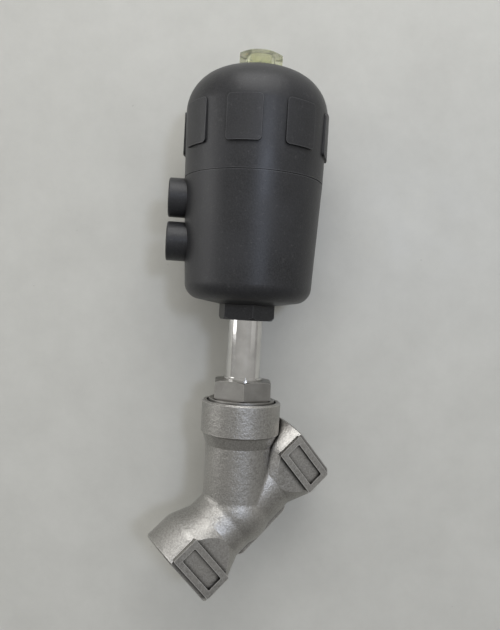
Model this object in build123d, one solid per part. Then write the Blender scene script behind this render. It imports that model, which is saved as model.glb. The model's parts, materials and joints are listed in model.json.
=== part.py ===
"""Angle seat valve with a spring-closed pneumatic piston actuator, DN 25 with G1 ends.

All sizes are in millimetres. The model is drawn about the point where the stem axis crosses the pipe
axis, with the stem along +Z. It is stored with its origin on the pipe axis where the inlet thread starts.
"""
from math import cos, pi, radians, sin, tan
import os

from build123d import *

os.makedirs("parts", exist_ok=True)

# ---- fits -------------------------------------------------------------------------------------------
RUNNING = 0.05      # radial clearance of a sliding or turning fit
LOCATING = 0.02     # radial clearance of a fixed fit
FREE = 0.3          # clearance between moving parts that don't guide each other

# ---- valve body -------------------------------------------------------------------------------------
STEM_ANGLE = 48.5           # between the stem and the outlet half of the pipe axis
INLET_LENGTH = 47.0         # axis crossing to inlet face
OUTLET_LENGTH = 54.0        # axis crossing to outlet face
PIPE_R = 19.2
PIPE_WALL = 4.6
END_R = 24.3                # round port ends
END_FLATS = 38.6            # over the two flats that carry the frames
END_LENGTH = 16.5
END_FLARE = 13.0
END_EDGE = 0.8
END_BLEND = 9.0             # rounding between an end and its cone
INLET_MINOR_R = 15.15       # G1, bored within the limits of the minor diameter
OUTLET_MINOR_R = 15.4
PORT_MAJOR_R = 16.62
PORT_THREAD_LENGTH = 17.0
PORT_LEAD = 1.2             # depth of the lead-in at the mouth
FRAME_LENGTH = 16.0         # raised frame on each flat, along the pipe
FRAME_WIDTH = 31.0
FRAME_HEIGHT = 2.3
FRAME_SETBACK = 2.2
FRAME_RIM_END = 3.4
FRAME_RIM_SIDE = 3.5
FRAME_RECESS = 1.5
FRAME_CORNER = 0.8
FRAME_ROOT = 3.0            # depth of a frame's block below its flat
RIB_LENGTH = 40.0           # cast strip along the underside
RIB_WIDTH = 13.0
RIB_HEIGHT = 1.6
RIB_CORNER = 5.0

SEAT_R = 11.5
SEAT_LIP_WIDTH = 2.2
SEAT_LIP_HEIGHT = 2.0
SEAT_WEB = 5.0
SEAT_WELL = 3.0             # depth of the seat bore below the web

NECK_R = 19.6
BELLY_R = 20.8              # ball that the neck and the pipe run into
VALLEY_R = 3.5          # rounding in the narrow angle of neck and pipe
CROTCH_R = 5.0          # rounding between neck, pipe and belly
NECK_BORE_R = 16.2
COLLAR_R = 22.9
NECK_LENGTH = 45.5          # axis crossing to the collar
COLLAR_HEIGHT = 18.1
COLLAR_TAPER = 7.3
COLLAR_EDGE = 0.8
BODY_THREAD_R = 18.3
BODY_THREAD_DEPTH = 19.1
RIM_R = 20.4                # inside of the collar's rim
RIM_DEPTH = 3.0

# ---- bonnet: nipple, tube and packing --------------------------------------------------------------
SPINDLE_R = 5.0
BODY_SEAL_THICKNESS = 1.8
NIPPLE_FLANGE_R = 19.2
NIPPLE_HEX = 32.0
NIPPLE_HEX_GAP = 1.1        # hexagon above the collar
NIPPLE_HEX_HEIGHT = 11.1
NIPPLE_HEX_TURN = -111.6  # direction of one corner, from +X
NIPPLE_FLOOR = 4.0
TUBE_R = 9.9
TUBE_WALL = 2.0
TUBE_SEAT_DEPTH = 8.0
TUBE_EXPOSED = 34.9         # between nipple and actuator
TUBE_PROJECTION = 4.0       # above the hub
WELD_RING_R = 11.3
WELD_RING_HEIGHT = 1.6
SUPPORT_RING_HEIGHT = 2.0
V_RING_COUNT = 4
V_RING_HEIGHT = 2.2
PRESSURE_RING_HEIGHT = 3.0
PACKING_WIRE_R = 0.8
PACKING_TURNS = 6
PACKING_SPRING_LENGTH = 16.0
GUIDE_BUSH_LENGTH = 9.0
WIPER_HEIGHT = 4.0

# ---- plug -------------------------------------------------------------------------------------------
STROKE = 9.5
SEAL_THICKNESS = 3.0
SEAL_R = 14.2
PLUG_R = 14.8
PLUG_HEIGHT = 5.0
PLUG_BOSS_R = 8.6
PLUG_BOSS_HEIGHT = 8.0
PLUG_SOCKET_DEPTH = 10.5
SEAL_SCREW_R = 8.5
SEAL_SCREW_SHANK_R = 5.0
SEAL_SCREW_HEAD = 2.6
CLIP_WIRE = 1.2
CLIP_DEPTH = 1.0
CLIP_FROM_TOP = 3.2

# ---- actuator housing ------------------------------------------------------------------------------
ACTUATOR_TURN = 160.0       # direction of the air ports, from +X
HOUSING_R = 40.0            # at the seam between body and cover
BODY_HEIGHT = 71.4          # dish to seam
SEAM_GROOVE = 0.5
BODY_DRAFT = 3.0
DISH_RISE = 3.6             # from the hexagon to where the bottom meets the wall
BODY_CORNER = 9.5
HOUSING_WALL = 8.5          # cylinder bore to the seam radius
FLOOR_THICKNESS = 11.4
HOUSING_HEX = 29.3
HOUSING_HEX_HEIGHT = 8.6
HOUSING_HEX_TURN = 98.3   # direction of one corner, from the air ports
HUB_R = 15.0
HUB_LENGTH = 28.6           # tube bearing, from the hexagon up
HUB_COUNTERBORE_R = 12.6
HUB_COUNTERBORE = 6.4
TUBE_NUT_HEIGHT = 4.5
TUBE_NUT_R = 12.2
STOP_RING_R = 12.0
STOP_RING_HEIGHT = 2.2
TUBE_O_RING_WIRE = 2.4
TUBE_O_RING_HEIGHT = 10.8   # above the hexagon
COVER_SKIRT = 3.6           # cover wall round the spigot
SPIGOT_HEIGHT = 10.0
COVER_SEAL_WIRE = 2.0

PORT_DROP = 11.6            # upper air port below the seam
PORT_PITCH = 25.1
PORT_BOSS_R = 11.3
PORT_PROJECTION = 8.5       # port faces beyond the seam radius
INSERT_R = 8.6
INSERT_LENGTH = 13.0
AIR_THREAD_R = 5.75         # G1/4, bored to the minor diameter
AIR_CHANNEL_R = 2.4

COVER_DRAFT = 1.4
COVER_HEIGHT = 61.8
DOME_CORNER = 24.0
DOME_CROWN = 0.9
COVER_WALL = 4.6
BLOCK_COUNT = 8
BLOCK_ANGLE = 26.5
BLOCK_TURN = -14.0         # direction of the first block, from the air ports
BLOCK_PROUD = 1.7           # beyond the seam radius
BLOCK_ROOT = 4.0            # depth of a block into the cover wall
BLOCK_RISE = 14.2           # above the seam
BLOCK_HEIGHT = 24.4
BLOCK_CORNER = 2.2

# ---- indicator cap ----------------------------------------------------------------------------------
CAP_HEX = 24.5
CAP_HEX_TURN = 90.0         # direction of one corner, from the air ports
CAP_HEX_HEIGHT = 10.6
CAP_SHANK_R = 9.4
CAP_SHANK_LENGTH = 7.0
CAP_BORE_R = 6.5
CAP_ROOF = 1.6
CAP_EDGE = 1.5
CAP_SEAL_WIRE = 1.6
CAP_BOSS_R = 13.5
CAP_BOSS_LENGTH = 4.5

# ---- piston -----------------------------------------------------------------------------------------
PISTON_REST = 27.0          # piston above the chamber floor when closed
PISTON_RIM = 8.2
PISTON_RIM_WIDTH = 5.5
PISTON_WEB = 4.2
PISTON_HUB_R = 11.0
PISTON_HUB_HEIGHT = 10.0
PISTON_BORE_TAP_R = 4.0     # spindle end that the piston sits on
LIP_SEAL_WIDTH = 4.0
LIP_SEAL_HEIGHT = 4.4
GUIDE_RING_WIDTH = 1.8
GUIDE_RING_HEIGHT = 2.4
GUIDE_RING_EDGE = 1.0
NUT_AF = 13.0
NUT_HEIGHT = 6.5
WASHER_R = 9.0
WASHER_HEIGHT = 1.6
SPRING_MEAN_R = 21.5
SPRING_WIRE_R = 2.2
SPRING_TURNS = 6
SPRING_SEAT = 2.0           # height of the seat inside the cover
INDICATOR_R = 2.6
INDICATOR_HEAD_R = 5.4
INDICATOR_HEAD = 5.0

# ---- places worked out from the sizes above --------------------------------------------------------
piston_bore_r = HOUSING_R - HOUSING_WALL
spigot_r = HOUSING_R - COVER_SKIRT
port_face_r = HOUSING_R + PORT_PROJECTION
block_r = HOUSING_R + BLOCK_PROUD
pipe_direction = Vector(sin(radians(STEM_ANGLE)), 0, cos(radians(STEM_ANGLE)))
stem_offset = pipe_direction * (INLET_LENGTH - PORT_LEAD)
flow_r = PIPE_R - PIPE_WALL
tube_bore_r = TUBE_R - TUBE_WALL
web_top_z = -SEAT_LIP_HEIGHT
web_bottom_z = web_top_z - SEAT_WEB
collar_z = NECK_LENGTH
collar_top_z = collar_z + COLLAR_HEIGHT
rim_floor_z = collar_top_z - RIM_DEPTH
body_seal_z = collar_top_z - BODY_THREAD_DEPTH
shank_z = body_seal_z + BODY_SEAL_THICKNESS
nipple_hex_z = collar_top_z + NIPPLE_HEX_GAP
nipple_top_z = nipple_hex_z + NIPPLE_HEX_HEIGHT
housing_z = nipple_top_z + TUBE_EXPOSED
dish_z = housing_z + HOUSING_HEX_HEIGHT
hub_top_z = housing_z + HUB_LENGTH
tube_o_ring_z = housing_z + TUBE_O_RING_HEIGHT
tube_top_z = hub_top_z + TUBE_PROJECTION
chamber_z = dish_z + FLOOR_THICKNESS
seam_z = dish_z + BODY_HEIGHT
port_z = (seam_z - PORT_DROP - PORT_PITCH, seam_z - PORT_DROP)
dome_top_z = seam_z + COVER_HEIGHT
dome_inner_z = dome_top_z - COVER_WALL
cover_top_r = HOUSING_R + (COVER_HEIGHT - DOME_CORNER) * tan(radians(COVER_DRAFT))
packing_z = shank_z + NIPPLE_FLOOR
tube_z = nipple_top_z - TUBE_SEAT_DEPTH
v_ring_z = packing_z + SUPPORT_RING_HEIGHT
pressure_ring_z = v_ring_z + V_RING_COUNT * V_RING_HEIGHT
packing_spring_z = pressure_ring_z + PRESSURE_RING_HEIGHT
guide_bush_z = packing_spring_z + PACKING_SPRING_LENGTH
wiper_z = tube_top_z - WIPER_HEIGHT
plug_top_z = SEAL_THICKNESS + PLUG_HEIGHT
boss_top_z = plug_top_z + PLUG_BOSS_HEIGHT
spindle_z = boss_top_z - PLUG_SOCKET_DEPTH
clip_z = boss_top_z - CLIP_FROM_TOP
piston_z = chamber_z + PISTON_REST
piston_top_z = piston_z + PISTON_HUB_HEIGHT
guide_ring_z = piston_z + PISTON_RIM - GUIDE_RING_HEIGHT - GUIDE_RING_EDGE
nut_z = piston_top_z + WASHER_HEIGHT
indicator_z = nut_z + NUT_HEIGHT
cap_flat_z = dome_top_z + DOME_CROWN / 2
cap_hex_z = cap_flat_z + CAP_SEAL_WIRE / 2
cap_top_z = cap_hex_z + CAP_HEX_HEIGHT
cap_shank_z = cap_hex_z - CAP_SHANK_LENGTH
cap_bore_r = CAP_SHANK_R + LOCATING
cap_roof_z = cap_top_z - CAP_ROOF
indicator_top_z = cap_roof_z - STROKE - FREE
spring_z = piston_z + PISTON_WEB
spring_top_z = dome_inner_z - SPRING_SEAT


def cylinder(r, z0, z1):
    """Solid round bar along the stem between two heights."""
    return Pos(0, 0, (z0 + z1) / 2) * Cylinder(r, z1 - z0)


def ring(r_out, r_in, z0, z1):
    """Plain ring about the stem."""
    return cylinder(r_out, z0, z1) - cylinder(r_in, z0 - 1, z1 + 1)


def hexagon(across_flats, z0, z1, corner):
    """Hexagonal bar about the stem with one corner in the given direction."""
    outline = Rot(0, 0, corner) * RegularPolygon(across_flats / 2, 6, major_radius=False)
    return Pos(0, 0, z0) * extrude(outline, z1 - z0)


def turned(*points):
    """Solid of revolution about the stem from (radius, height) corners."""
    face = Plane.XZ * make_face(Polyline(*points, close=True))
    return revolve(face, Axis.Z)


def along_pipe(shape):
    """Moves a shape drawn along +Z so that it lies along the pipe, its X across and Y to the front."""
    return Plane(origin=(0, 0, 0), x_dir=(cos(radians(STEM_ANGLE)), 0, -sin(radians(STEM_ANGLE))),
                 z_dir=tuple(pipe_direction)).location * shape


def on_actuator(shape):
    """Turns a shape drawn with the air ports along +X to where the actuator stands."""
    return Rot(0, 0, ACTUATOR_TURN) * shape


def o_ring(centre_r, wire, z):
    """Round-section sealing ring about the stem."""
    return Pos(0, 0, z) * Torus(centre_r, wire / 2)


def coil(mean_r, wire_r, z0, z1, turns):
    """Helical spring with flat-ground ends between two heights."""
    low = z0 + wire_r * 0.5
    high = z1 - wire_r * 0.5
    path = Helix((high - low) / turns, high - low, mean_r)
    start = Plane(path @ 0, z_dir=path % 0)
    wire = sweep(start * Circle(wire_r), path, is_frenet=True)
    wire = Pos(0, 0, low) * wire
    return wire & cylinder(mean_r + 2 * wire_r, z0, z1)


# ---- valve body -------------------------------------------------------------------------------------
def port_end(face_z, inward):
    """Round end of the pipe, coned into it, with a raised frame on a flat at the front and the back."""
    flat = END_FLATS / 2
    profile = Polyline((0, 0), (END_R - END_EDGE, 0), (END_R, END_EDGE), (END_R, END_LENGTH),
                       (PIPE_R, END_LENGTH + END_FLARE), (0, END_LENGTH + END_FLARE), close=True)
    end = revolve(Plane.XZ * make_face(profile), Axis.Z)
    shoulder = end.edges().filter_by(lambda e: abs(e.center().Z - END_LENGTH) < 0.01)
    end = fillet(shoulder, END_BLEND)
    slab = Pos(0, 0, END_LENGTH / 2) * Box(2 * END_R, END_FLATS, END_LENGTH + 2 * END_FLARE)
    end = end & slab
    for side in (-1, 1):
        pad = Pos(0, side * (flat + FRAME_HEIGHT / 2 - FRAME_ROOT / 2), FRAME_SETBACK + FRAME_LENGTH / 2) \
            * Box(FRAME_WIDTH, FRAME_HEIGHT + FRAME_ROOT, FRAME_LENGTH)
        pad = fillet(pad.edges().filter_by(Axis.Y), FRAME_CORNER)
        window = Pos(0, side * (flat + FRAME_HEIGHT), FRAME_SETBACK + FRAME_LENGTH / 2) \
            * Box(FRAME_WIDTH - 2 * FRAME_RIM_END, 2 * FRAME_RECESS, FRAME_LENGTH - 2 * FRAME_RIM_SIDE)
        window = fillet(window.edges().filter_by(Axis.Y), FRAME_CORNER)
        end = end + pad - window
    if inward < 0:
        end = mirror(end, Plane.XY)
    return Pos(0, 0, face_z) * end


def port_bore(minor_r, face_z, inward):
    """Threaded bore of a port with its lead-in."""
    bore = cylinder(minor_r, 0, PORT_THREAD_LENGTH)
    lead = Pos(0, 0, PORT_LEAD / 2) * Cone(PORT_MAJOR_R, minor_r, PORT_LEAD)
    bore = bore + lead
    if inward < 0:
        bore = mirror(bore, Plane.XY)
    return Pos(0, 0, face_z) * bore


def make_valve_body():
    """Cast Y body: pipe, two port ends, neck and collar, with the seat web inside."""
    outlet_root = OUTLET_LENGTH - PORT_LEAD
    pipe = along_pipe(cylinder(PIPE_R, PORT_LEAD - INLET_LENGTH, 2 * OUTLET_LENGTH))
    core = pipe + cylinder(NECK_R, 0, rim_floor_z) + Sphere(BELLY_R)
    valley = core.edges().filter_by(GeomType.BSPLINE).filter_by(lambda e: e.center().Z > BELLY_R)
    core = fillet(valley, VALLEY_R)
    crotch = core.edges().filter_by(lambda e: e.center().length < 1.4 * BELLY_R and e.length > PIPE_R)
    core = fillet(crotch, CROTCH_R)
    core = core - along_pipe(cylinder(PIPE_R + VALLEY_R, outlet_root, 3 * OUTLET_LENGTH))
    rib = Pos(PIPE_R, 0, (OUTLET_LENGTH - INLET_LENGTH) / 2) * Box(2 * RIB_HEIGHT, RIB_WIDTH, RIB_LENGTH)
    rib = fillet(rib.edges().filter_by(Axis.X), RIB_CORNER)
    outside = core + along_pipe(rib + port_end(-INLET_LENGTH, 1) + port_end(OUTLET_LENGTH, -1))
    taper_z = collar_z - COLLAR_TAPER
    neck = turned((0, taper_z), (NECK_R, taper_z), (COLLAR_R - 1.1, collar_z - 1.2),
                  (COLLAR_R, collar_z), (COLLAR_R, collar_top_z - COLLAR_EDGE),
                  (COLLAR_R - COLLAR_EDGE, collar_top_z), (0, collar_top_z))
    outside = outside + neck

    reach = INLET_LENGTH + OUTLET_LENGTH
    below = Pos(0, 0, web_bottom_z - reach) * Box(4 * reach, 4 * reach, 2 * reach)
    above = Pos(0, 0, web_top_z + reach) * Box(4 * reach, 4 * reach, 2 * reach)
    inlet = along_pipe(cylinder(flow_r, -INLET_LENGTH + 1, OUTLET_LENGTH)) & below
    outlet = along_pipe(cylinder(flow_r, -INLET_LENGTH, OUTLET_LENGTH - 1)) & above
    inlet = inlet & along_pipe(cylinder(2 * PIPE_R, -INLET_LENGTH, flow_r))
    outlet = outlet & along_pipe(cylinder(2 * PIPE_R, -flow_r, OUTLET_LENGTH))
    orifice = cylinder(SEAT_R, web_bottom_z - SEAT_WELL, 1)
    chamber = cylinder(NECK_BORE_R, web_top_z, collar_top_z)
    lip = ring(SEAT_R + SEAT_LIP_WIDTH, SEAT_R, web_top_z, 0)
    thread = cylinder(BODY_THREAD_R, body_seal_z, collar_top_z)
    rim = cylinder(RIM_R, rim_floor_z, collar_top_z + 1)
    body = outside - inlet - outlet - orifice - chamber - thread - rim
    body = body - along_pipe(port_bore(INLET_MINOR_R, -INLET_LENGTH, 1))
    body = body - along_pipe(port_bore(OUTLET_MINOR_R, OUTLET_LENGTH, -1))
    return body + lip


# ---- bonnet -----------------------------------------------------------------------------------------
def make_nipple():
    """Screwed bonnet: threaded shank, flange inside the collar's rim and hexagon."""
    shank = cylinder(BODY_THREAD_R - LOCATING, shank_z, rim_floor_z)
    flange = cylinder(NIPPLE_FLANGE_R, rim_floor_z, nipple_hex_z)
    crown = NIPPLE_HEX / 2 / cos(pi / 6)
    hexagon_bar = hexagon(NIPPLE_HEX, nipple_hex_z, nipple_top_z, NIPPLE_HEX_TURN)
    rounding = turned((0, nipple_hex_z), (crown - 1.2, nipple_hex_z), (crown, nipple_hex_z + 0.7),
                      (crown, nipple_top_z - 1.2), (crown - 2.0, nipple_top_z), (0, nipple_top_z))
    solid = shank + flange + (hexagon_bar & rounding)
    solid = solid - cylinder(tube_bore_r, packing_z, nipple_top_z)
    solid = solid - cylinder(TUBE_R + LOCATING, tube_z, nipple_top_z + 1)
    return solid - cylinder(SPINDLE_R + RUNNING, shank_z - 1, packing_z + 1)


def make_guide_tube():
    """Polished tube that carries the actuator, with the weld ring at its foot."""
    tube = ring(TUBE_R, tube_bore_r, tube_z, tube_top_z)
    foot = ring(WELD_RING_R, tube_bore_r, nipple_top_z, nipple_top_z + WELD_RING_HEIGHT)
    return tube + foot


def make_v_rings():
    """Chevron packing set, nested rings with a common hollow underside."""
    rings = []
    middle = (SPINDLE_R + tube_bore_r) / 2
    r_in = SPINDLE_R + RUNNING
    r_out = tube_bore_r - LOCATING
    for i in range(V_RING_COUNT):
        z = v_ring_z + i * V_RING_HEIGHT
        rings.append(turned((r_in, z), (middle, z + 0.8), (r_out, z), (r_out, z + V_RING_HEIGHT - 0.8),
                            (middle, z + V_RING_HEIGHT), (r_in, z + V_RING_HEIGHT - 0.8)))
    return Compound(children=rings)


# ---- plug -------------------------------------------------------------------------------------------
def make_plug():
    """Swivel plate: disc over the seat with a boss that snaps over the spindle end."""
    disc = cylinder(PLUG_R, SEAL_THICKNESS, plug_top_z)
    disc = chamfer(disc.edges().group_by(Axis.Z)[-1], 1.2)
    boss = cylinder(PLUG_BOSS_R, plug_top_z, boss_top_z)
    socket = cylinder(SPINDLE_R + RUNNING, spindle_z, boss_top_z + 1)
    tapped = cylinder(SEAL_SCREW_SHANK_R + LOCATING, SEAL_THICKNESS - 1, spindle_z - 1)
    groove = ring(SPINDLE_R + CLIP_DEPTH, SPINDLE_R, clip_z - FREE / 2, clip_z + CLIP_WIRE + FREE / 2)
    return disc + boss - socket - tapped - groove


def make_spindle_clip():
    """Snap ring that holds the swivel plate on the spindle."""
    clip = ring(SPINDLE_R + CLIP_DEPTH - 0.2, SPINDLE_R - CLIP_DEPTH, clip_z, clip_z + CLIP_WIRE)
    slot = Pos(SPINDLE_R, 0, clip_z + CLIP_WIRE / 2) * Box(4, 3, 2 * CLIP_WIRE)
    return clip - slot


def make_seal_screw():
    """Screw that clamps the seat seal to the swivel plate."""
    shank = cylinder(SEAL_SCREW_SHANK_R, -SEAL_SCREW_HEAD * 0.2, spindle_z - 1.5)
    head = turned((0, -SEAL_SCREW_HEAD), (SEAL_SCREW_R - 1.8, -SEAL_SCREW_HEAD), (SEAL_SCREW_R, 0), (0, 0))
    socket = hexagon(5.0, -SEAL_SCREW_HEAD - 1, 1.5, 0)
    return shank + head - socket


def make_spindle():
    """Ground spindle from the plug to the piston, stepped and threaded at its upper end."""
    bar = cylinder(SPINDLE_R, spindle_z + FREE, piston_z)
    end = cylinder(PISTON_BORE_TAP_R, piston_z, indicator_z)
    groove = ring(SPINDLE_R + 1, SPINDLE_R - CLIP_DEPTH, clip_z, clip_z + CLIP_WIRE)
    return chamfer(bar.edges().group_by(Axis.Z)[0], 0.8) + end - groove


# ---- actuator body ----------------------------------------------------------------------------------
def make_actuator_body():
    """Moulded lower housing with hexagon, hub, cylinder bore and two air port bosses."""
    drop = seam_z - (dish_z + DISH_RISE)
    bottom_r = HOUSING_R - drop * tan(radians(BODY_DRAFT))
    outline = turned((0, dish_z), (HUB_R, dish_z), (bottom_r, (dish_z + DISH_RISE)), (HOUSING_R, seam_z),
                     (0, seam_z))
    corner = outline.edges().filter_by(GeomType.CIRCLE)
    corner = [e for e in corner if abs(e.center().Z - (dish_z + DISH_RISE)) < 0.01]
    shell = fillet(corner, BODY_CORNER)
    bosses = []
    for z in port_z:
        boss = Pos(0, 0, z) * Rot(0, 90, 0) * Pos(0, 0, port_face_r / 2) * Cylinder(PORT_BOSS_R, port_face_r)
        bosses.append(fillet(boss.edges().group_by(Axis.X)[-1], 1.0))
    spigot = cylinder(spigot_r, seam_z - 1, seam_z + SPIGOT_HEIGHT)
    hex_bar = hexagon(HOUSING_HEX, housing_z, dish_z + 3, HOUSING_HEX_TURN)
    crown = HOUSING_HEX / 2 / cos(pi / 6)
    rounding = turned((0, housing_z), (crown - 1.8, housing_z), (crown, housing_z + 1.8),
                      (crown, dish_z + 3), (0, dish_z + 3))
    body = shell + spigot + (hex_bar & rounding)
    for boss in bosses:
        body = body + boss
    body = body - cylinder(piston_bore_r, chamber_z, seam_z + SPIGOT_HEIGHT + 1)
    body = body + cylinder(HUB_R, chamber_z - 1, hub_top_z)
    body = body - cylinder(TUBE_R + RUNNING, housing_z - 1, hub_top_z + 1)
    body = body - cylinder(HUB_COUNTERBORE_R, hub_top_z - HUB_COUNTERBORE, hub_top_z + 1)
    body = body - cylinder(STOP_RING_R + FREE, housing_z - 1, housing_z + STOP_RING_HEIGHT)
    body = body - ring(TUBE_R + TUBE_O_RING_WIRE * 0.82, TUBE_R, tube_o_ring_z - TUBE_O_RING_WIRE * 0.6,
                       tube_o_ring_z + TUBE_O_RING_WIRE * 0.6)
    body = body - ring(HOUSING_R + 1, HOUSING_R - SEAM_GROOVE, seam_z - SEAM_GROOVE, seam_z + 1)
    seal_z = seam_z + SPIGOT_HEIGHT / 2
    body = body - ring(spigot_r + 1, spigot_r - COVER_SEAL_WIRE * 0.8, seal_z - COVER_SEAL_WIRE * 0.6,
                       seal_z + COVER_SEAL_WIRE * 0.6)
    for z in port_z:
        socket = Pos(0, 0, z) * Rot(0, 90, 0) * cylinder(INSERT_R, port_face_r - INSERT_LENGTH, port_face_r + 1)
        channel = Pos(0, 0, z) * Rot(0, 90, 0) * cylinder(AIR_CHANNEL_R, piston_bore_r - 2, port_face_r)
        body = body - socket - channel
    return on_actuator(body)


def make_port_insert(z):
    """Threaded metal insert of one air port."""
    outer = cylinder(INSERT_R - LOCATING, port_face_r - INSERT_LENGTH, port_face_r - 0.4)
    bore = cylinder(AIR_THREAD_R, port_face_r - INSERT_LENGTH - 1, port_face_r + 1)
    lead = Pos(0, 0, port_face_r - 0.4) * Cone(AIR_THREAD_R - 0.4, AIR_THREAD_R + 1.4, 1.8)
    return on_actuator(Pos(0, 0, z) * Rot(0, 90, 0) * (outer - bore - lead))


# ---- actuator cover ---------------------------------------------------------------------------------
def dome_outline(shrink, floor_z, taper=True):
    """Half section of the cover: drafted wall, rounded shoulder and slightly crowned top."""
    draft = tan(radians(COVER_DRAFT))
    corner = DOME_CORNER - shrink
    top_z = dome_top_z - shrink
    shoulder_z = dome_top_z - DOME_CORNER
    wall_r = cover_top_r - shrink
    foot_r = wall_r - (shoulder_z - floor_z) * draft
    with BuildPart() as made:
        with BuildSketch(Plane.XZ):
            with BuildLine():
                Line((0, floor_z), (foot_r, floor_z))
                Line((foot_r, floor_z), (wall_r, shoulder_z))
                RadiusArc((wall_r, shoulder_z), (wall_r - corner, top_z), -corner)
                ThreePointArc((wall_r - corner, top_z), ((wall_r - corner) / 2, top_z + DOME_CROWN * 0.75),
                              (0, top_z + DOME_CROWN))
                Line((0, top_z + DOME_CROWN), (0, floor_z))
            make_face()
        revolve(axis=Axis.Z)
    return made.part


def make_blocks():
    """Raised grip blocks round the cover, flush with it at their upper edge."""
    blocks = []
    low = seam_z + BLOCK_RISE
    high = low + BLOCK_HEIGHT
    width = 2 * block_r * sin(radians(BLOCK_ANGLE / 2))
    band = ring(block_r, block_r - BLOCK_ROOT, low, high)
    for i in range(BLOCK_COUNT):
        mask = Pos(block_r, 0, (low + high) / 2) * Box(2 * BLOCK_ROOT, width, high - low)
        mask = fillet(mask.edges().filter_by(Axis.X), BLOCK_CORNER)
        turn = Rot(0, 0, BLOCK_TURN + i * 360 / BLOCK_COUNT)
        blocks.append(turn * (band & mask))
    return blocks


def make_actuator_cover():
    """Moulded dome with grip blocks, inner spring seat and threaded boss for the indicator cap."""
    skin = dome_outline(0, seam_z)
    hollow = dome_outline(COVER_WALL, seam_z)
    hollow = hollow & cylinder(HOUSING_R, seam_z, dome_inner_z)
    cover = skin - hollow
    cover = cover + cylinder(CAP_BOSS_R, dome_inner_z - CAP_BOSS_LENGTH, dome_inner_z)
    cover = cover + ring(SPRING_MEAN_R + 2 * SPRING_WIRE_R, CAP_BOSS_R - 1, spring_top_z, dome_inner_z + 0.5)
    for block in make_blocks():
        cover = cover + block
    cover = cover - cylinder(spigot_r + LOCATING, seam_z - 1, seam_z + SPIGOT_HEIGHT + FREE)
    cover = cover - cylinder(cap_bore_r, dome_inner_z - CAP_BOSS_LENGTH - 1, dome_top_z + 5)
    flat = ring(CAP_HEX, cap_bore_r, cap_flat_z, dome_top_z + 5)
    return on_actuator(cover - flat)


# ---- indicator cap ----------------------------------------------------------------------------------
def make_cap():
    """Clear hexagonal cap, screwed into the cover over the indicator."""
    bar = hexagon(CAP_HEX, cap_hex_z, cap_top_z, CAP_HEX_TURN)
    crown = CAP_HEX / 2 / cos(pi / 6)
    rounding = turned((0, cap_hex_z), (crown, cap_hex_z), (crown, cap_top_z - CAP_EDGE),
                      (crown - 2 * CAP_EDGE, cap_top_z), (0, cap_top_z))
    shank = cylinder(CAP_SHANK_R, cap_shank_z, cap_hex_z)
    seal_seat = ring(CAP_SHANK_R + CAP_SEAL_WIRE, CAP_SHANK_R, cap_hex_z - 0.01,
                     cap_hex_z + CAP_SEAL_WIRE * 0.5)
    cap = (bar & rounding) + shank - seal_seat - cylinder(CAP_BORE_R, cap_shank_z - 1, cap_roof_z)
    return on_actuator(cap)


# ---- piston -----------------------------------------------------------------------------------------
def make_piston():
    """Piston with a dished web, hub, grooves for lip seal and guide ring, and a seat for the spring."""
    rim_r = piston_bore_r - FREE
    top = piston_z + PISTON_RIM
    body = turned((0, piston_z), (rim_r, piston_z), (rim_r, top), (rim_r - PISTON_RIM_WIDTH, top),
                  (rim_r - PISTON_RIM_WIDTH, piston_z + PISTON_WEB), (PISTON_HUB_R + 2, piston_z + PISTON_WEB),
                  (PISTON_HUB_R, piston_top_z), (0, piston_top_z))
    body = body - ring(piston_bore_r, piston_bore_r - LIP_SEAL_WIDTH, piston_z - 1,
                       piston_z + LIP_SEAL_HEIGHT)
    body = body - ring(piston_bore_r, piston_bore_r - GUIDE_RING_WIDTH, guide_ring_z,
                       guide_ring_z + GUIDE_RING_HEIGHT)
    return body - cylinder(PISTON_BORE_TAP_R + LOCATING, piston_z - 1, piston_top_z + 1)


def make_lip_seal():
    """Cup seal under the piston's rim, opened by the air below it."""
    outer = piston_bore_r - RUNNING
    inner = piston_bore_r - LIP_SEAL_WIDTH + LOCATING
    return turned((inner, piston_z), (inner + 1.0, piston_z), (inner + 1.5, piston_z + 2.4),
                  (outer - 1.0, piston_z + 2.4), (outer - 0.6, piston_z), (outer, piston_z),
                  (outer - 0.2, piston_z + LIP_SEAL_HEIGHT), (inner, piston_z + LIP_SEAL_HEIGHT))


def make_guide_ring():
    """Wear ring in the piston's rim."""
    return ring(piston_bore_r - RUNNING, piston_bore_r - GUIDE_RING_WIDTH + LOCATING, guide_ring_z,
                guide_ring_z + GUIDE_RING_HEIGHT)


def make_indicator():
    """Rod on the spindle end whose head rises into the clear cap when the valve opens."""
    stem = cylinder(INDICATOR_R, indicator_z, indicator_top_z)
    head = cylinder(INDICATOR_HEAD_R, indicator_top_z - INDICATOR_HEAD, indicator_top_z)
    head = chamfer(head.edges().group_by(Axis.Z)[-1], 0.8)
    foot = cylinder(PISTON_BORE_TAP_R + 1.4, indicator_z, indicator_z + 5)
    return stem + head + foot


nut = hexagon(NUT_AF, nut_z, nut_z + NUT_HEIGHT, 0)
nut = nut - cylinder(PISTON_BORE_TAP_R + LOCATING, nut_z - 1, indicator_z + 1)

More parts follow.
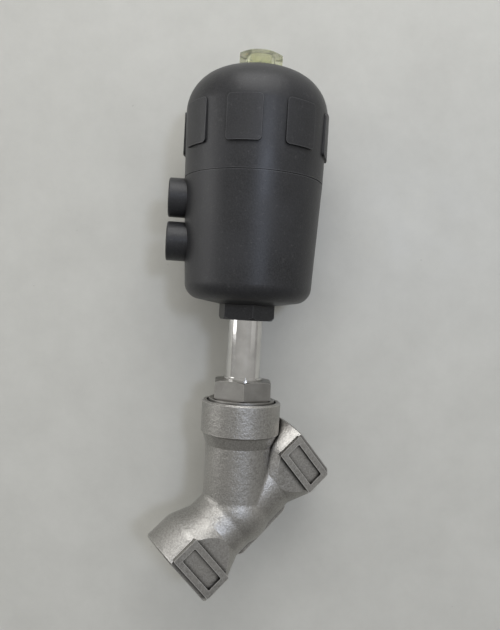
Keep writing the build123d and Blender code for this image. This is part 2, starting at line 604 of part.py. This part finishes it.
nodes = {
    "valve_body": make_valve_body(),
    "body_seal_ring": ring(BODY_THREAD_R - 0.1, NECK_BORE_R, body_seal_z, shank_z),
    "nipple": make_nipple(),
    "guide_tube": make_guide_tube(),
    "packing_support_ring": ring(tube_bore_r - LOCATING, SPINDLE_R + RUNNING, packing_z, v_ring_z),
    "packing_v_rings": make_v_rings(),
    "packing_pressure_ring": ring(tube_bore_r - LOCATING, SPINDLE_R + RUNNING, pressure_ring_z, packing_spring_z),
    "packing_spring": coil((SPINDLE_R + tube_bore_r) / 2, PACKING_WIRE_R, packing_spring_z, guide_bush_z,
                           PACKING_TURNS),
    "spindle_guide_bush": ring(tube_bore_r - LOCATING, SPINDLE_R + RUNNING, guide_bush_z,
                               guide_bush_z + GUIDE_BUSH_LENGTH),
    "spindle_wiper": ring(tube_bore_r - LOCATING, SPINDLE_R + RUNNING, wiper_z, tube_top_z),
    "tube_retaining_nut": ring(TUBE_NUT_R, TUBE_R + LOCATING, hub_top_z - HUB_COUNTERBORE,
                               hub_top_z - HUB_COUNTERBORE + TUBE_NUT_HEIGHT),
    "tube_stop_ring": ring(STOP_RING_R, TUBE_R + LOCATING, housing_z, housing_z + STOP_RING_HEIGHT),
    "actuator_body": make_actuator_body(),
    "tube_o_ring": o_ring(TUBE_R + TUBE_O_RING_WIRE * 0.42, TUBE_O_RING_WIRE * 0.78, tube_o_ring_z),
    "lower_port_insert": make_port_insert(port_z[0]),
    "upper_port_insert": make_port_insert(port_z[1]),
    "actuator_cover": make_actuator_cover(),
    "cover_seal_ring": o_ring(spigot_r - COVER_SEAL_WIRE * 0.38, COVER_SEAL_WIRE * 0.74,
                              seam_z + SPIGOT_HEIGHT / 2),
    "transparent_cap": make_cap(),
    "cap_seal_ring": o_ring(CAP_SHANK_R + CAP_SEAL_WIRE * 0.5, CAP_SEAL_WIRE * 0.9, cap_hex_z),
    "closing_spring": coil(SPRING_MEAN_R, SPRING_WIRE_R, spring_z, spring_top_z, SPRING_TURNS),
    "spindle": make_spindle(),
    "piston": make_piston(),
    "piston_lip_seal": make_lip_seal(),
    "piston_guide_ring": make_guide_ring(),
    "piston_washer": ring(WASHER_R, PISTON_BORE_TAP_R + LOCATING, piston_top_z, nut_z),
    "piston_nut": nut,
    "position_indicator": make_indicator(),
    "spindle_clip": make_spindle_clip(),
    "swivel_plate": make_plug(),
    "seat_seal": ring(SEAL_R, SEAL_SCREW_SHANK_R + LOCATING, 0, SEAL_THICKNESS),
    "seat_seal_screw": make_seal_screw(),
}

for name, shape in nodes.items():
    export_step(Pos(*stem_offset) * shape, "parts/" + name + ".step")
    print(name, round(shape.volume, 1))
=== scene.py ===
"""Looks, light and camera for the angle seat valve. Lengths are in metres, in the CAD's frame."""
import json
import math

import bpy
from mathutils import Matrix, Vector


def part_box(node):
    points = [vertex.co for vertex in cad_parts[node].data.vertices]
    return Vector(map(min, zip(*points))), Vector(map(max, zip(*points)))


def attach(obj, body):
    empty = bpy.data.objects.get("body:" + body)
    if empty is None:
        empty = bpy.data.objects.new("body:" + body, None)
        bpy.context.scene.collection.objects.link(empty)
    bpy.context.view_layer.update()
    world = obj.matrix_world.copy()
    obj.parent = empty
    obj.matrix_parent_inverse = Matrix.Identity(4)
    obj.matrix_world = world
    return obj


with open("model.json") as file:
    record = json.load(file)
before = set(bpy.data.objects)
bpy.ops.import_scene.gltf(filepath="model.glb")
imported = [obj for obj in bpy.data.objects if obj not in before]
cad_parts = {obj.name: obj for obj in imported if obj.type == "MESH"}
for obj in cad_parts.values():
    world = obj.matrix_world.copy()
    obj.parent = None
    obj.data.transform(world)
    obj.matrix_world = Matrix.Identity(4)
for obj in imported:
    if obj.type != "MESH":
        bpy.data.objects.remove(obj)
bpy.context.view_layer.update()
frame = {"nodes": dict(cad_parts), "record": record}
nodes = frame["nodes"]
scene = bpy.context.scene
MM = 0.001


# ---- where things are -------------------------------------------------------------------------------
def middle(node):
    """Centre of a node's box."""
    low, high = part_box(node)
    return (Vector(low) + Vector(high)) / 2


stem = middle("guide_tube")
stem.z = 0.0
cover_low, cover_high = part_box("actuator_cover")
housing_radius = (cover_high[1] - cover_low[1]) / 2

# ---- camera -----------------------------------------------------------------------------------------
CAMERA_AZIMUTH = -25.0      # from the front, so the outlet points away
CAMERA_ELEVATION = 0.75
CAMERA_ROLL = 3.2           # the stem leans to the right in the picture
CAMERA_DISTANCE = 0.360
CAMERA_AIM = stem + Vector((1.7, -1.7, 144.1)) * MM
CAMERA_LENS = 35.2


def away_from(azimuth, elevation):
    """Unit vector from the object to an eye at that azimuth and elevation in degrees."""
    a = math.radians(azimuth)
    e = math.radians(elevation)
    return Vector((math.sin(a) * math.cos(e), -math.cos(a) * math.cos(e), math.sin(e)))


def make_camera():
    """Looks almost straight at the floor that the valve lies on."""
    data = bpy.data.cameras.new("camera")
    data.lens = CAMERA_LENS
    data.sensor_width = 36.0
    data.clip_start = 0.01
    data.clip_end = 20.0
    camera = bpy.data.objects.new("camera", data)
    scene.collection.objects.link(camera)
    back = away_from(CAMERA_AZIMUTH, CAMERA_ELEVATION)
    turn = (-back).to_track_quat("-Z", "Y").to_matrix().to_4x4()
    roll = Matrix.Rotation(math.radians(CAMERA_ROLL), 4, "Z")
    camera.matrix_world = Matrix.Translation(CAMERA_AIM + back * CAMERA_DISTANCE) @ turn @ roll
    scene.camera = camera


# ---- node helpers -----------------------------------------------------------------------------------
class Nodes:
    """A material's node tree with short ways to add and link nodes."""

    def __init__(self, name):
        self.material = bpy.data.materials.new(name)
        self.material.use_nodes = True
        self.tree = self.material.node_tree
        self.shader = self.tree.nodes["Principled BSDF"]
        self.output = self.tree.nodes["Material Output"]

    def add(self, kind, **values):
        node = self.tree.nodes.new(kind)
        for key, value in values.items():
            setattr(node, key, value)
        return node

    def link(self, source, target):
        self.tree.links.new(source, target)

    def noise(self, scale, detail=4.0, rough=0.55, stretch=None):
        """Noise over the part's own coordinates, if wanted stretched along one or more axes."""
        place = self.add("ShaderNodeTexCoord").outputs["Object"]
        if stretch:
            mapping = self.add("ShaderNodeMapping")
            mapping.inputs["Scale"].default_value = stretch
            self.link(place, mapping.inputs["Vector"])
            place = mapping.outputs["Vector"]
        node = self.add("ShaderNodeTexNoise")
        node.inputs["Scale"].default_value = scale
        node.inputs["Detail"].default_value = detail
        node.inputs["Roughness"].default_value = rough
        self.link(place, node.inputs["Vector"])
        return node.outputs["Fac"]

    def ramp(self, source, low, high, start=0.35, end=0.65):
        """Maps a value to a colour or a grey between two ends."""
        node = self.add("ShaderNodeValToRGB")
        first, last = node.color_ramp.elements
        first.position = start
        last.position = end
        first.color = grey(low)
        last.color = grey(high)
        self.link(source, node.inputs["Fac"])
        return node.outputs["Color"]

    def bump(self, height, strength, distance, under=None):
        node = self.add("ShaderNodeBump")
        node.inputs["Strength"].default_value = strength
        node.inputs["Distance"].default_value = distance
        self.link(height, node.inputs["Height"])
        if under:
            self.link(under, node.inputs["Normal"])
        return node.outputs["Normal"]

    def edges(self, radius):
        """Mask for painted highlights: near 1 where the surface turns sharply, 0 on open faces."""
        bevel = self.add("ShaderNodeBevel", samples=6)
        bevel.inputs["Radius"].default_value = radius
        plain = self.add("ShaderNodeNewGeometry")
        dot = self.add("ShaderNodeVectorMath", operation="DOT_PRODUCT")
        self.link(bevel.outputs["Normal"], dot.inputs[0])
        self.link(plain.outputs["Normal"], dot.inputs[1])
        return self.ramp(dot.outputs["Value"], 1.0, 0.0, 0.86, 0.99)

    def painted_crevice_shade(self, reach):
        """Mask for painted shade: near 1 in corners and grooves, 0 on open faces."""
        node = self.add("ShaderNodeAmbientOcclusion", samples=8)
        node.inputs["Distance"].default_value = reach
        return self.ramp(node.outputs["AO"], 1.0, 0.0, 0.5, 0.97)

    def mix(self, factor, first, second, blend="MIX"):
        """Colour mix; first and second may be sockets or three-part colours."""
        node = self.add("ShaderNodeMix", data_type="RGBA", blend_type=blend)
        if isinstance(factor, (int, float)):
            node.inputs["Factor"].default_value = factor
        else:
            self.link(factor, node.inputs["Factor"])
        for value, slot in ((first, "A"), (second, "B")):
            socket = [i for i in node.inputs if i.name == slot and i.type == "RGBA"][0]
            if isinstance(value, tuple):
                socket.default_value = grey(value)
            else:
                self.link(value, socket)
        return [o for o in node.outputs if o.type == "RGBA"][0]


def grey(value):
    """Colour with alpha from a number or a three-part colour."""
    if isinstance(value, (int, float)):
        return (value, value, value, 1.0)
    return (*value, 1.0)


# ---- materials --------------------------------------------------------------------------------------
def cast_stainless():
    """Bead-blasted investment casting: fine grain, faint clouds, a painted highlight along every sharp edge
    and painted shade in corners and grooves.
    """
    n = Nodes("cast_stainless")
    clouds = n.noise(45, 5)
    grain = n.noise(1000, 3, 0.7)
    colour = n.ramp(clouds, (0.27, 0.262, 0.245), (0.36, 0.348, 0.328))
    colour = n.mix(n.ramp(grain, 0.0, 0.6), colour, (0.55, 0.535, 0.51))
    # painted highlight: a pale steel tone along every sharp edge
    colour = n.mix(n.edges(0.8 * MM), colour, (0.80, 0.79, 0.76))
    # painted shade: near-black in corners and grooves
    colour = n.mix(n.painted_crevice_shade(2.6 * MM), colour, (0.05, 0.047, 0.042))
    n.link(colour, n.shader.inputs["Base Color"])
    n.link(n.ramp(clouds, 0.44, 0.34), n.shader.inputs["Roughness"])
    n.shader.inputs["Metallic"].default_value = 1.0
    coarse = n.bump(n.noise(360, 5, 0.65), 0.5, 0.5 * MM)
    n.link(n.bump(grain, 0.7, 0.25 * MM, coarse), n.shader.inputs["Normal"])
    return n.material


def turned_stainless():
    """Machined and lightly blasted steel with fine turning marks round the stem."""
    n = Nodes("turned_stainless")
    marks = n.noise(900, 3, 0.6, (0.02, 0.02, 1.0))
    clouds = n.noise(60, 4)
    colour = n.ramp(clouds, (0.28, 0.272, 0.256), (0.38, 0.37, 0.35))
    # painted highlight: a pale steel tone along every sharp edge
    colour = n.mix(n.edges(0.35 * MM), colour, (0.74, 0.72, 0.68))
    # painted shade: darker in corners and grooves
    colour = n.mix(n.painted_crevice_shade(1.6 * MM), colour, (0.14, 0.13, 0.12))
    n.link(colour, n.shader.inputs["Base Color"])
    n.link(n.ramp(marks, 0.36, 0.46), n.shader.inputs["Roughness"])
    n.shader.inputs["Metallic"].default_value = 1.0
    n.link(n.bump(marks, 0.10, 0.1 * MM, n.bump(n.noise(700, 4), 0.35, 0.3 * MM)), n.shader.inputs["Normal"])
    return n.material


def polished_stainless():
    """Mirror-polished tube with faint wiping marks."""
    n = Nodes("polished_stainless")
    marks = n.noise(700, 3, 0.6, (0.05, 0.05, 1.0))
    smears = n.noise(90, 4)
    n.link(n.ramp(smears, (0.60, 0.59, 0.57), (0.70, 0.69, 0.67)), n.shader.inputs["Base Color"])
    n.link(n.ramp(smears, 0.07, 0.13), n.shader.inputs["Roughness"])
    n.shader.inputs["Metallic"].default_value = 1.0
    n.link(n.bump(marks, 0.02, 0.05 * MM), n.shader.inputs["Normal"])
    return n.material


def black_polyamide():
    """Glass-filled black moulding: fine eroded texture, soft sheen, dust, a painted highlight along every
    sharp edge and painted shade in corners and grooves.
    """
    n = Nodes("black_polyamide")
    clouds = n.noise(28, 5)
    grain = n.noise(1100, 3, 0.7)
    dust = n.noise(420, 6, 0.75)
    colour = n.ramp(clouds, (0.009, 0.009, 0.010), (0.021, 0.021, 0.023))
    colour = n.mix(n.ramp(grain, 0.0, 0.7), colour, (0.032, 0.032, 0.034))
    # painted highlight: a paler grey along every sharp edge
    colour = n.mix(n.edges(0.8 * MM), colour, (0.085, 0.085, 0.088))
    colour = n.mix(n.ramp(dust, 0.0, 0.35, 0.58, 0.78), colour, (0.15, 0.147, 0.14))
    # painted shade: near-black in corners and grooves
    colour = n.mix(n.painted_crevice_shade(2.4 * MM), colour, (0.002, 0.002, 0.002))
    n.link(colour, n.shader.inputs["Base Color"])
    n.link(n.ramp(clouds, 0.36, 0.46), n.shader.inputs["Roughness"])
    n.shader.inputs["Specular IOR Level"].default_value = 0.42
    soft = n.bump(n.noise(240, 3), 0.05, 0.3 * MM)
    n.link(n.bump(grain, 0.40, 0.15 * MM, soft), n.shader.inputs["Normal"])
    return n.material


def clear_yellow():
    """Aged clear plastic of the indicator cap, pale yellow and slightly cloudy."""
    n = Nodes("clear_yellow")
    clouds = n.noise(120, 3)
    n.link(n.ramp(clouds, (0.84, 0.86, 0.58), (0.93, 0.94, 0.76)), n.shader.inputs["Base Color"])
    n.link(n.ramp(clouds, 0.03, 0.09), n.shader.inputs["Roughness"])
    n.shader.inputs["Transmission Weight"].default_value = 0.86
    n.shader.inputs["IOR"].default_value = 1.5
    n.shader.inputs["Coat Weight"].default_value = 0.4
    n.shader.inputs["Coat Roughness"].default_value = 0.08
    n.link(n.bump(n.noise(260, 3), 0.22, 0.4 * MM), n.shader.inputs["Normal"])
    return n.material


def plain(name, low, high, rough, metallic=0.0, scale=80, bump=0.1):
    """Small inner parts: two close tones, grain and a roughness that varies a little."""
    n = Nodes(name)
    clouds = n.noise(scale, 4)
    n.link(n.ramp(clouds, low, high), n.shader.inputs["Base Color"])
    n.link(n.ramp(clouds, rough - 0.06, rough + 0.06), n.shader.inputs["Roughness"])
    n.shader.inputs["Metallic"].default_value = metallic
    n.link(n.bump(n.noise(1400, 3), bump, 0.1 * MM), n.shader.inputs["Normal"])
    return n.material


def tile_floor():
    """Pale polished tile, seen only from its front, so views from behind stay open."""
    n = Nodes("tile_floor")
    colour = n.ramp(n.noise(22, 7, 0.72), (0.515, 0.510, 0.473), (0.560, 0.555, 0.516))
    colour = n.mix(n.ramp(n.noise(150, 2), 0.0, 0.5, 0.76, 0.80), colour, (0.30, 0.29, 0.26))
    n.link(colour, n.shader.inputs["Base Color"])
    n.link(n.ramp(n.noise(30, 4), 0.34, 0.42), n.shader.inputs["Roughness"])
    n.shader.inputs["Specular IOR Level"].default_value = 0.25
    clear = n.add("ShaderNodeBsdfTransparent")
    blend = n.add("ShaderNodeMixShader")
    facing = n.add("ShaderNodeNewGeometry")
    n.link(facing.outputs["Backfacing"], blend.inputs["Fac"])
    n.link(n.shader.outputs["BSDF"], blend.inputs[1])
    n.link(clear.outputs["BSDF"], blend.inputs[2])
    n.link(blend.outputs["Shader"], n.output.inputs["Surface"])
    return n.material


def dress(names, material):
    """Gives CAD nodes their material."""
    for name in names:
        obj = nodes[name]
        if not obj.material_slots:
            obj.data.materials.append(material)
        for slot in obj.material_slots:
            slot.material = material


# ---- threads ----------------------------------------------------------------------------------------
G1_PITCH = 2.309 * MM
G1_CREST = 0.5 * MM
G14_PITCH = 1.337 * MM
G14_CREST = 0.3 * MM
AIR_LEAD = 0.6 * MM         # from an insert's face to the start of its thread
STEPS_PER_TURN = 56
FADE_STEPS = 14             # the crest rises and ends over this many steps
ROOT_OVERLAP = 0.04 * MM    # how far the ridge reaches into the wall
ROOT_HALF_WIDTH = 0.42      # shares of the pitch
CREST_HALF_WIDTH = 0.06


def mouth_of(mount, insert):
    """How far an insert's threaded wall reaches beyond its mount's place, less the lead-in."""
    axis = Vector(mount["axis"]).normalized()
    origin = Vector(mount["pos_m"])
    obj = nodes[insert]
    return max(axis.dot(obj.matrix_world @ v.co - origin) for v in obj.data.vertices) - AIR_LEAD


def thread_ridge(name, mount, pitch, height, body, material, mouth=0.0):
    """Helical thread crest in a mount's bore; mouth is how far outside its place the bore opens."""
    axis = Vector(mount["axis"]).normalized()
    start = Vector(mount["pos_m"]) + axis * mouth
    wall = mount["dims"]["r_mm"] * MM
    length = mount["dims"]["length_mm"] * MM - pitch
    side = axis.orthogonal().normalized()
    other = axis.cross(side)
    root = wall + ROOT_OVERLAP
    count = int(length / pitch * STEPS_PER_TURN)
    verts = []
    for i in range(count + 1):
        turn = 2 * math.pi * i / STEPS_PER_TURN
        out = side * math.cos(turn) + other * math.sin(turn)
        middle_at = start - axis * (pitch / 2 + i / STEPS_PER_TURN * pitch)
        crest = wall - height * min(1.0, i / FADE_STEPS, (count - i) / FADE_STEPS)
        verts.append(middle_at + out * root + axis * pitch * ROOT_HALF_WIDTH)
        verts.append(middle_at + out * crest + axis * pitch * CREST_HALF_WIDTH)
        verts.append(middle_at + out * crest - axis * pitch * CREST_HALF_WIDTH)
        verts.append(middle_at + out * root - axis * pitch * ROOT_HALF_WIDTH)
    faces = []
    for i in range(count):
        a = 4 * i
        for k in range(4):
            n = (k + 1) % 4
            faces.append((a + k, a + n, a + 4 + n, a + 4 + k))
    faces.append((3, 2, 1, 0))
    last = 4 * count
    faces.append((last, last + 1, last + 2, last + 3))
    mesh = bpy.data.meshes.new(name)
    mesh.from_pydata([tuple(v) for v in verts], [], faces)
    mesh.update()
    ridge = bpy.data.objects.new(name, mesh)
    scene.collection.objects.link(ridge)
    mesh.materials.append(material)
    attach(ridge, body)


# ---- stage ------------------------------------------------------------------------------------------
FLOOR_SIZE = 2.4
LYING_CLEARANCE = 0.4 * MM  # beyond the cover's radius, measured from the camera's aim


def make_floor():
    """Tile that the valve lies on, parallel to the stem and facing the camera's side."""
    back = away_from(CAMERA_AZIMUTH, 0.0)
    centre = CAMERA_AIM - back * (housing_radius + LYING_CLEARANCE)
    bpy.ops.mesh.primitive_plane_add(size=FLOOR_SIZE)
    floor = bpy.context.object
    floor.name = "floor"
    floor.matrix_world = Matrix.Translation(centre) @ back.to_track_quat("Z", "Y").to_matrix().to_4x4()
    floor.data.materials.append(tile_floor())


LAMP_COLOUR = (0.70, 0.79, 1.0)
LIGHTS = [
    # name, degrees to the side of the camera and up, distance, size, power, colour if not white
    ("window", 0, 58, 1.25, 1.1, 10.4),
    ("left_fill", -75, 10, 1.3, 0.6, 3.0),
    ("right_fill", 58, 12, 1.5, 0.9, 0.4),
    ("lamp", 18, 10, 1.6, 0.18, 4.5, LAMP_COLOUR),
    ("back_left", -150, 30, 1.8, 1.2, 9),
    ("back_right", 150, 20, 1.8, 1.2, 9),
]
SKY_COLOUR = (1.0, 0.99, 0.965, 1.0)
DARKEST_TOWARDS = -0.6      # cosine at which the surroundings reach their low end


def area_light(name, side, up, distance, size, power, colour=(1.0, 1.0, 1.0)):
    """Soft square light aimed at the valve, placed by degrees to the side of and above the camera."""
    data = bpy.data.lights.new(name, "AREA")
    data.size = size
    data.energy = power
    data.color = colour
    light = bpy.data.objects.new(name, data)
    scene.collection.objects.link(light)
    out = away_from(CAMERA_AZIMUTH + side, up)
    place = Matrix.Translation(CAMERA_AIM + out * distance)
    light.matrix_world = place @ out.to_track_quat("Z", "Y").to_matrix().to_4x4()


def make_world(low, high, side, up):
    """Surroundings that brighten evenly towards one direction, by degrees from the camera."""
    world = bpy.data.worlds.new("surroundings")
    world.use_nodes = True
    tree = world.node_tree
    direction = tree.nodes.new("ShaderNodeTexCoord").outputs["Generated"]
    towards = tree.nodes.new("ShaderNodeVectorMath")
    towards.operation = "DOT_PRODUCT"
    towards.inputs[1].default_value = away_from(CAMERA_AZIMUTH + side, up)
    level = tree.nodes.new("ShaderNodeMapRange")
    level.inputs["From Min"].default_value = DARKEST_TOWARDS
    level.inputs["From Max"].default_value = 1.0
    level.inputs["To Min"].default_value = low
    level.inputs["To Max"].default_value = high
    sky = tree.nodes["Background"]
    sky.inputs["Color"].default_value = SKY_COLOUR
    tree.links.new(direction, towards.inputs[0])
    tree.links.new(towards.outputs["Value"], level.inputs["Value"])
    tree.links.new(level.outputs["Result"], sky.inputs["Strength"])
    scene.world = world


dress(["valve_body"], cast_stainless())
dress(["nipple"], turned_stainless())
dress(["guide_tube"], polished_stainless())
dress(["actuator_body", "actuator_cover"], black_polyamide())
dress(["transparent_cap"], clear_yellow())
dress(["lower_port_insert", "upper_port_insert", "spindle_guide_bush"],
      plain("brass", (0.60, 0.46, 0.22), (0.70, 0.55, 0.29), 0.30, 1.0))
dress(["packing_pressure_ring", "packing_spring", "tube_retaining_nut", "tube_stop_ring", "closing_spring",
       "spindle", "piston_washer", "piston_nut", "spindle_clip", "swivel_plate", "seat_seal_screw"],
      plain("inner_steel", (0.50, 0.49, 0.47), (0.62, 0.61, 0.59), 0.28, 1.0))
dress(["body_seal_ring", "packing_support_ring", "packing_v_rings", "piston_guide_ring", "seat_seal"],
      plain("fluoropolymer", (0.80, 0.80, 0.77), (0.88, 0.88, 0.86), 0.42))
dress(["spindle_wiper", "tube_o_ring", "cover_seal_ring", "cap_seal_ring", "piston_lip_seal"],
      plain("seal_rubber", (0.018, 0.018, 0.018), (0.030, 0.030, 0.030), 0.62))
dress(["piston"], plain("piston_plastic", (0.10, 0.10, 0.11), (0.14, 0.14, 0.15), 0.5))
dress(["position_indicator"], plain("indicator_red", (0.55, 0.05, 0.03), (0.65, 0.08, 0.05), 0.38))

record = frame["record"]
mounts = {mount["name"]: mount for mount in record["mounts"]}
cut_steel = plain("thread_steel", (0.50, 0.49, 0.47), (0.60, 0.59, 0.57), 0.32, 1.0)
cut_brass = plain("thread_brass", (0.60, 0.46, 0.22), (0.70, 0.55, 0.29), 0.30, 1.0)
thread_ridge("inlet_thread", mounts["inlet_port"], G1_PITCH, G1_CREST, "valve_group", cut_steel)
thread_ridge("outlet_thread", mounts["outlet_port"], G1_PITCH, G1_CREST, "valve_group", cut_steel)
for side in ("lower", "upper"):
    air_port = mounts[side + "_air_port"]
    thread_ridge(side + "_air_thread", air_port, G14_PITCH, G14_CREST, "actuator_group", cut_brass,
                 mouth_of(air_port, side + "_port_insert"))

make_camera()
make_floor()
make_world(low=0.20, high=0.64, side=0, up=58)
for light in LIGHTS:
    area_light(*light)
scene.view_settings.view_transform = "Standard"
